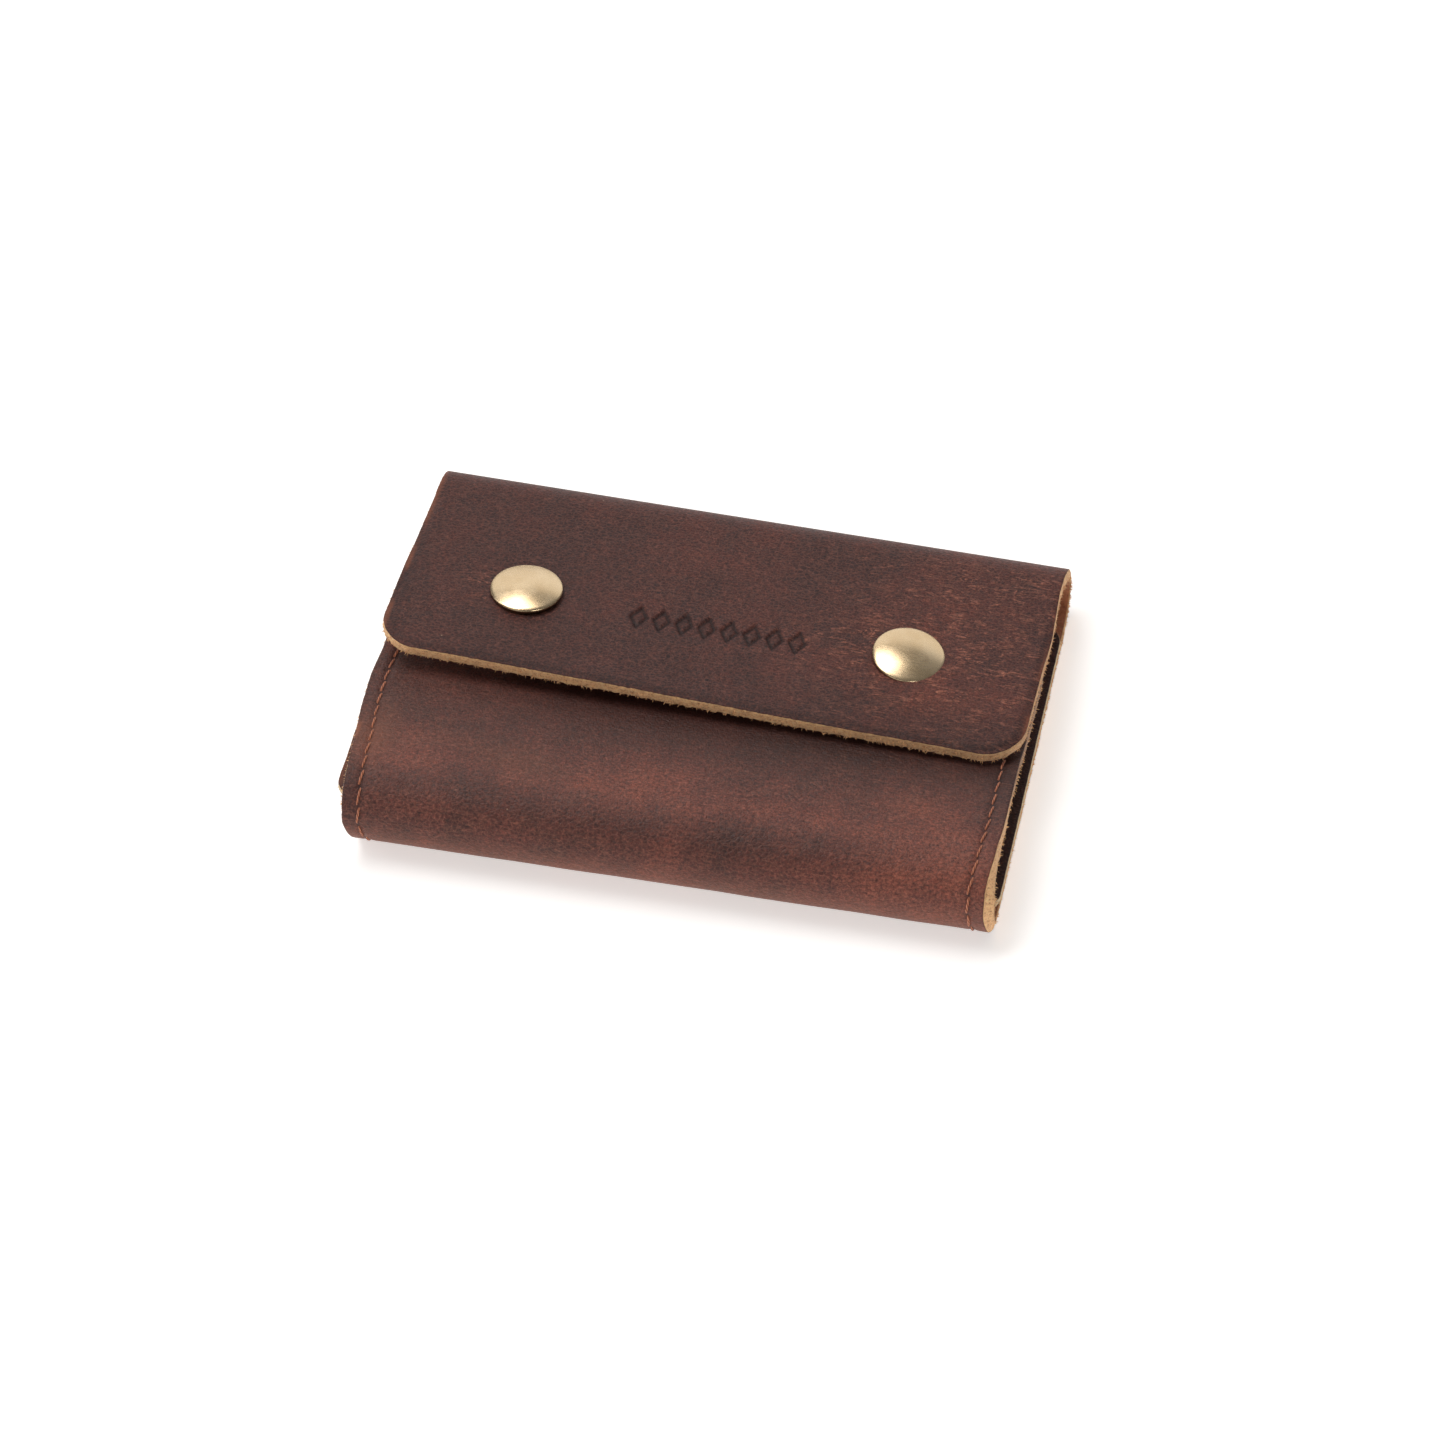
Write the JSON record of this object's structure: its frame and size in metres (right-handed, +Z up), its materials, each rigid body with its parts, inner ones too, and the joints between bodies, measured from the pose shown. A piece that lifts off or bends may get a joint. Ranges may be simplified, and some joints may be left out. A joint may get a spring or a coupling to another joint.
{
  "type": "key organiser",
  "caption": "Folding leather key organiser: a snap-fastened flap closes over a hinged front panel and a bar of swivelling key hooks with sprung gates.",
  "frame": {"origin": "middle of the bounding box's bottom face, on the surface the closed organiser lies on", "axes": "+X along the width, from the left snap to the right one; +Y from the front fold to the back fold; +Z up, out of the flap"},
  "size_m": [0.11, 0.08, 0.0165],
  "materials": {
    "outer_leather": "waxed pull-up leather, dark reddish brown, raw tan edges",
    "inner_leather": "smooth dark brown, raw tan edges",
    "liner_leather": "thin suede-faced lining",
    "thread": "waxed rust-brown thread",
    "snap_brass": "satin antique brass",
    "bar_steel": "brushed nickel-plated steel",
    "rivet_steel": "satin nickel-plated steel",
    "hook_steel": "polished nickel-plated steel",
    "gate_steel": "satin spring steel"
  },
  "bodies": {
    "base": {"base_panel": "outer_leather", "inner_panel": "inner_leather", "back_fold": "outer_leather", "front_fold": "outer_leather", "key_bar": "bar_steel", "bar_rivet_left": "rivet_steel", "bar_rivet_right": "rivet_steel", "hook_pin_1": "rivet_steel", "hook_pin_2": "rivet_steel", "hook_pin_3": "rivet_steel", "hook_pin_4": "rivet_steel", "hook_pin_5": "rivet_steel", "hook_pin_6": "rivet_steel"},
    "flap": {"flap": "outer_leather", "snap_cap_left": "snap_brass", "snap_cap_right": "snap_brass", "snap_socket_left": "snap_brass", "snap_socket_right": "snap_brass"},
    "front_panel": {"front_panel": "outer_leather", "pocket_liner": "liner_leather", "panel_stitch_left": "thread", "panel_stitch_right": "thread", "snap_stud_left": "snap_brass", "snap_stud_right": "snap_brass", "snap_eyelet_left": "snap_brass", "snap_eyelet_right": "snap_brass"},
    "hook_1": {"hook_1": "hook_steel"},
    "gate_1": {"gate_1": "gate_steel"},
    "hook_2": {"hook_2": "hook_steel"},
    "gate_2": {"gate_2": "gate_steel"},
    "hook_3": {"hook_3": "hook_steel"},
    "gate_3": {"gate_3": "gate_steel"},
    "hook_4": {"hook_4": "hook_steel"},
    "gate_4": {"gate_4": "gate_steel"},
    "hook_5": {"hook_5": "hook_steel"},
    "gate_5": {"gate_5": "gate_steel"},
    "hook_6": {"hook_6": "hook_steel"},
    "gate_6": {"gate_6": "gate_steel"}
  },
  "joints": [
    {"name": "flap_hinge", "type": "hinge", "parent": "base", "child": "flap", "pos_m": [0, 0.039, 0.0062], "axis": [-1, 0, 0], "range_deg": [0, 165], "deforming": ["back_fold"]},
    {"name": "front_hinge", "type": "hinge", "parent": "base", "child": "front_panel", "pos_m": [0, -0.039, 0.0075], "axis": [1, 0, 0], "range_deg": [0, 56.6], "deforming": ["front_fold"]},
    {"name": "hook_1_swing", "type": "hinge", "parent": "base", "child": "hook_1", "pos_m": [-0.0325, 0.023, 0.0051], "axis": [0, 0, 1], "range_deg": [-14, 14]},
    {"name": "gate_1_open", "type": "hinge", "parent": "hook_1", "child": "gate_1", "pos_m": [-0.03575, 0.0104, 0.0055], "axis": [0, 0, 1], "range_deg": [0, 22], "stiffness_Nm_per_rad": 0.0005, "springref_deg": -8.59},
    {"name": "hook_2_swing", "type": "hinge", "parent": "base", "child": "hook_2", "pos_m": [-0.0195, 0.023, 0.0051], "axis": [0, 0, 1], "range_deg": [-14, 14]},
    {"name": "gate_2_open", "type": "hinge", "parent": "hook_2", "child": "gate_2", "pos_m": [-0.02275, 0.0104, 0.0055], "axis": [0, 0, 1], "range_deg": [0, 22], "stiffness_Nm_per_rad": 0.0005, "springref_deg": -8.59},
    {"name": "hook_3_swing", "type": "hinge", "parent": "base", "child": "hook_3", "pos_m": [-0.0065, 0.023, 0.0051], "axis": [0, 0, 1], "range_deg": [-14, 14]},
    {"name": "gate_3_open", "type": "hinge", "parent": "hook_3", "child": "gate_3", "pos_m": [-0.00975, 0.0104, 0.0055], "axis": [0, 0, 1], "range_deg": [0, 22], "stiffness_Nm_per_rad": 0.0005, "springref_deg": -8.59},
    {"name": "hook_4_swing", "type": "hinge", "parent": "base", "child": "hook_4", "pos_m": [0.0065, 0.023, 0.0051], "axis": [0, 0, 1], "range_deg": [-14, 14]},
    {"name": "gate_4_open", "type": "hinge", "parent": "hook_4", "child": "gate_4", "pos_m": [0.00975, 0.0104, 0.0055], "axis": [0, 0, -1], "range_deg": [0, 22], "stiffness_Nm_per_rad": 0.0005, "springref_deg": -8.59},
    {"name": "hook_5_swing", "type": "hinge", "parent": "base", "child": "hook_5", "pos_m": [0.0195, 0.023, 0.0051], "axis": [0, 0, 1], "range_deg": [-14, 14]},
    {"name": "gate_5_open", "type": "hinge", "parent": "hook_5", "child": "gate_5", "pos_m": [0.02275, 0.0104, 0.0055], "axis": [0, 0, -1], "range_deg": [0, 22], "stiffness_Nm_per_rad": 0.0005, "springref_deg": -8.59},
    {"name": "hook_6_swing", "type": "hinge", "parent": "base", "child": "hook_6", "pos_m": [0.0325, 0.023, 0.0051], "axis": [0, 0, 1], "range_deg": [-14, 14]},
    {"name": "gate_6_open", "type": "hinge", "parent": "hook_6", "child": "gate_6", "pos_m": [0.03575, 0.0104, 0.0055], "axis": [0, 0, -1], "range_deg": [0, 22], "stiffness_Nm_per_rad": 0.0005, "springref_deg": -8.59}
  ],
  "couplings": [
    {"joint": "front_hinge", "follows": "flap_hinge", "ratio": 0.34}
  ]
}
